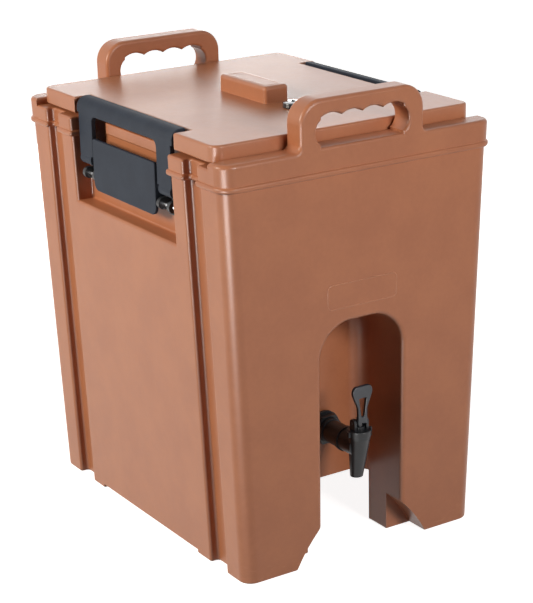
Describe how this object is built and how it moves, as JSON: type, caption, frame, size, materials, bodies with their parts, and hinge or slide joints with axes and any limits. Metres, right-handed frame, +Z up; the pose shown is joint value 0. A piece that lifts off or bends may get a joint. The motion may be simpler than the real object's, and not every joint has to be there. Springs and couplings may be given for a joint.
{
  "type": "insulated beverage dispenser",
  "caption": "Insulated drink dispenser: tapered double-walled casing on legs, latched lift-off lid with vent, moulded handles, self-closing tap in an arched front recess.",
  "frame": {"origin": "middle of the footprint on the floor, under the feet", "axes": "+X to the right seen from the front, -Y out of the front (the tap's side), +Z up"},
  "size_m": [0.4126, 0.5214, 0.6175],
  "materials": {
    "casing_plastic": "satin",
    "tank_plastic": "satin",
    "foam": "matte",
    "latch_nylon": "satin",
    "steel": "satin",
    "tap_black": "satin",
    "tap_white": "satin",
    "vent_black": "gloss",
    "washer_rubber": "matte",
    "seal_rubber": "matte"
  },
  "bodies": {
    "casing": {"outer_shell": "casing_plastic", "insulation_foam": "foam", "inner_tank": "tank_plastic", "left_latch_brackets": "latch_nylon", "right_latch_brackets": "latch_nylon", "latch_bracket_screws": "steel", "latch_hinge_pins": "steel", "tap_shank": "tap_black", "tap_inner_washer": "washer_rubber", "tap_outer_washer": "washer_rubber", "tap_lock_nut": "tap_black", "tap_body": "tap_black", "tap_bonnet": "tap_black", "tap_handle_pin": "steel", "tap_spring": "steel"},
    "lid": {"lid_shell": "casing_plastic", "lid_foam": "foam", "lid_gasket": "seal_rubber", "vent_tube": "tank_plastic", "vent_tube_nut": "tank_plastic", "vent_seal": "seal_rubber"},
    "vent_cap": {"vent_cap": "vent_black"},
    "left_lever": {"left_latch_lever": "latch_nylon", "left_latch_hook_pin": "steel"},
    "left_hook": {"left_latch_hook": "latch_nylon"},
    "right_lever": {"right_latch_lever": "latch_nylon", "right_latch_hook_pin": "steel"},
    "right_hook": {"right_latch_hook": "latch_nylon"},
    "tap_handle": {"tap_handle": "tap_black"},
    "tap_stem": {"tap_stem": "tap_white", "tap_seat_cup": "seal_rubber"}
  },
  "joints": [
    {"name": "lid_lift", "type": "slide", "parent": "casing", "child": "lid", "axis": [0, 0, 1], "range_m": [0, 0.04]},
    {"name": "vent_cap_turn", "type": "hinge", "parent": "lid", "child": "vent_cap", "pos_m": [0, -0.104, 0.575], "axis": [0, 0, 1], "range_deg": [0, 90]},
    {"name": "left_lever_hinge", "type": "hinge", "parent": "casing", "child": "left_lever", "pos_m": [-0.188, 0, 0.472], "axis": [0, -1, 0], "range_deg": [0, 60]},
    {"name": "left_hook_hinge", "type": "hinge", "parent": "left_lever", "child": "left_hook", "pos_m": [-0.1875, 0, 0.4925], "axis": [0, -1, 0], "range_deg": [0, 100]},
    {"name": "right_lever_hinge", "type": "hinge", "parent": "casing", "child": "right_lever", "pos_m": [0.188, 0, 0.472], "axis": [0, 1, 0], "range_deg": [0, 60]},
    {"name": "right_hook_hinge", "type": "hinge", "parent": "right_lever", "child": "right_hook", "pos_m": [0.1875, 0, 0.4925], "axis": [0, 1, 0], "range_deg": [0, 100]},
    {"name": "tap_handle_hinge", "type": "hinge", "parent": "casing", "child": "tap_handle", "pos_m": [0, -0.2445, 0.182], "axis": [1, 0, 0], "range_deg": [0, 34.4], "stiffness_Nm_per_rad": 0.35, "springref_deg": -5.73},
    {"name": "tap_stem_slide", "type": "slide", "parent": "casing", "child": "tap_stem", "axis": [0, 0, 1], "range_m": [0, 0.004], "deforming": ["tap_spring"]}
  ],
  "couplings": [
    {"joint": "left_hook_hinge", "follows": "lid_lift", "rad_per_m": 43.5},
    {"joint": "right_hook_hinge", "follows": "lid_lift", "rad_per_m": 43.5},
    {"joint": "tap_handle_hinge", "follows": "tap_stem_slide", "rad_per_m": 150}
  ]
}
